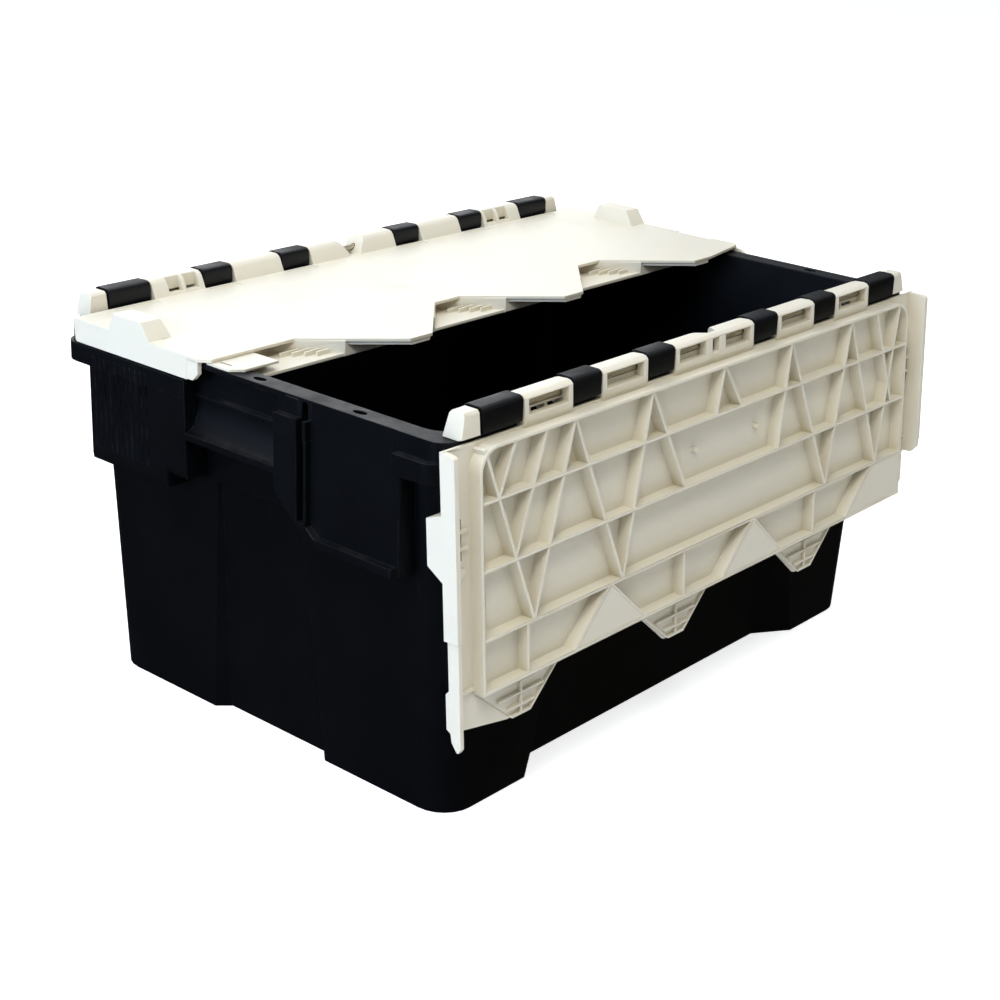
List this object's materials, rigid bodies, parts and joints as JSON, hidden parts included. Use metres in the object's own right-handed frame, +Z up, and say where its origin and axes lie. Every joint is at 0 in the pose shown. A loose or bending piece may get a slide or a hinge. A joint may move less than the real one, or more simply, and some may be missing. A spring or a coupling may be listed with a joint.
{
  "type": "attached lid tote",
  "caption": "Rectangular moulded storage tote whose two toothed lids are attached along the long rims and fold out over the sides; shown with one lid open and hanging.",
  "frame": {"origin": "centre of the resting face, on the floor plane", "axes": "+X along the length between the two handle ends, +Y from the open front lid to the closed rear lid, +Z up"},
  "size_m": [0.5982, 0.4229, 0.31],
  "materials": {
    "black_plastic": "satin injection-moulded black",
    "ivory_plastic": "semi-gloss injection-moulded ivory",
    "steel": "drawn zinc-plated rod"
  },
  "bodies": {
    "tote": {"tote_body": "black_plastic", "front_hinge_rod": "steel", "rear_hinge_rod": "steel", "front_right_hinge_cap": "ivory_plastic", "front_left_hinge_cap": "ivory_plastic", "rear_left_hinge_cap": "ivory_plastic", "rear_right_hinge_cap": "ivory_plastic"},
    "front_lid": {"front_lid": "ivory_plastic"},
    "rear_lid": {"rear_lid": "ivory_plastic"}
  },
  "joints": [
    {"name": "front_lid_hinge", "type": "hinge", "parent": "tote", "child": "front_lid", "pos_m": [0, -0.191, 0.3], "axis": [1, 0, 0], "range_deg": [-266, 0]},
    {"name": "rear_lid_hinge", "type": "hinge", "parent": "tote", "child": "rear_lid", "pos_m": [0, 0.191, 0.3], "axis": [-1, 0, 0], "range_deg": [0, 266]}
  ]
}
